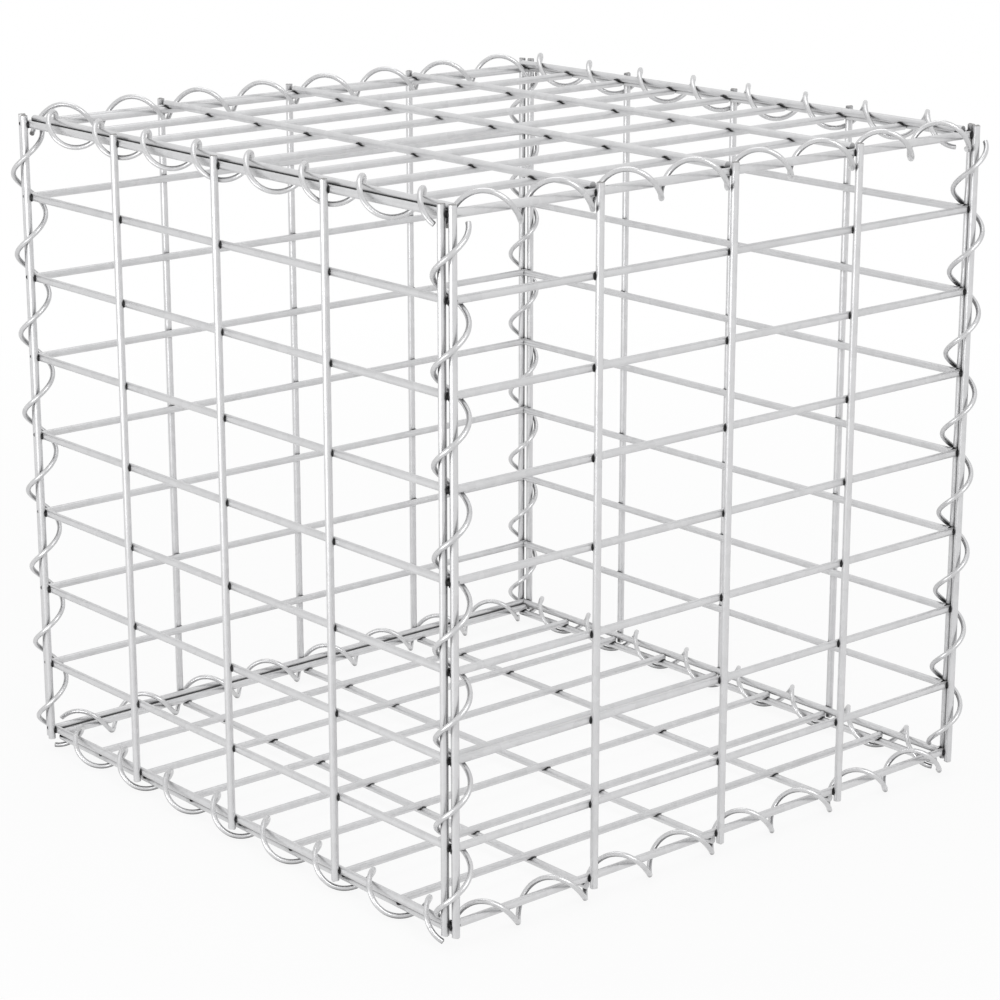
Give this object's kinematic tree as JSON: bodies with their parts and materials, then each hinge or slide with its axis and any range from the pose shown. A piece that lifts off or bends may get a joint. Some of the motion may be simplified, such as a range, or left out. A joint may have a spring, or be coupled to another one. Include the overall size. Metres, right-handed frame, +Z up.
{
  "type": "gabion raised bed",
  "caption": "Cube-shaped wire basket of welded mesh panels laced along every edge by spiral wires, for filling with stones or use as a raised bed.",
  "frame": {"origin": "on the ground under the middle of the basket", "axes": "+Z up, +Y from the front panel to the back panel, +X from the left panel to the right panel"},
  "size_m": [0.4214, 0.4224, 0.4129],
  "materials": {
    "mesh_wire": "bright galvanised, satin",
    "lacing_wire": "bright galvanised, satin"
  },
  "bodies": {
    "root": {"front_line_wires": "mesh_wire", "front_cross_wires": "mesh_wire", "back_line_wires": "mesh_wire", "back_cross_wires": "mesh_wire", "left_line_wires": "mesh_wire", "left_cross_wires": "mesh_wire", "right_line_wires": "mesh_wire", "right_cross_wires": "mesh_wire", "lid_line_wires": "mesh_wire", "lid_cross_wires": "mesh_wire", "base_line_wires": "mesh_wire", "base_cross_wires": "mesh_wire", "front_left_corner_spiral": "lacing_wire", "back_left_corner_spiral": "lacing_wire", "back_right_corner_spiral": "lacing_wire", "front_right_corner_spiral": "lacing_wire", "lid_front_spiral": "lacing_wire", "lid_back_spiral": "lacing_wire", "lid_left_spiral": "lacing_wire", "lid_right_spiral": "lacing_wire", "base_front_spiral": "lacing_wire", "base_back_spiral": "lacing_wire", "base_left_spiral": "lacing_wire", "base_right_spiral": "lacing_wire"}
  },
  "joints": []
}
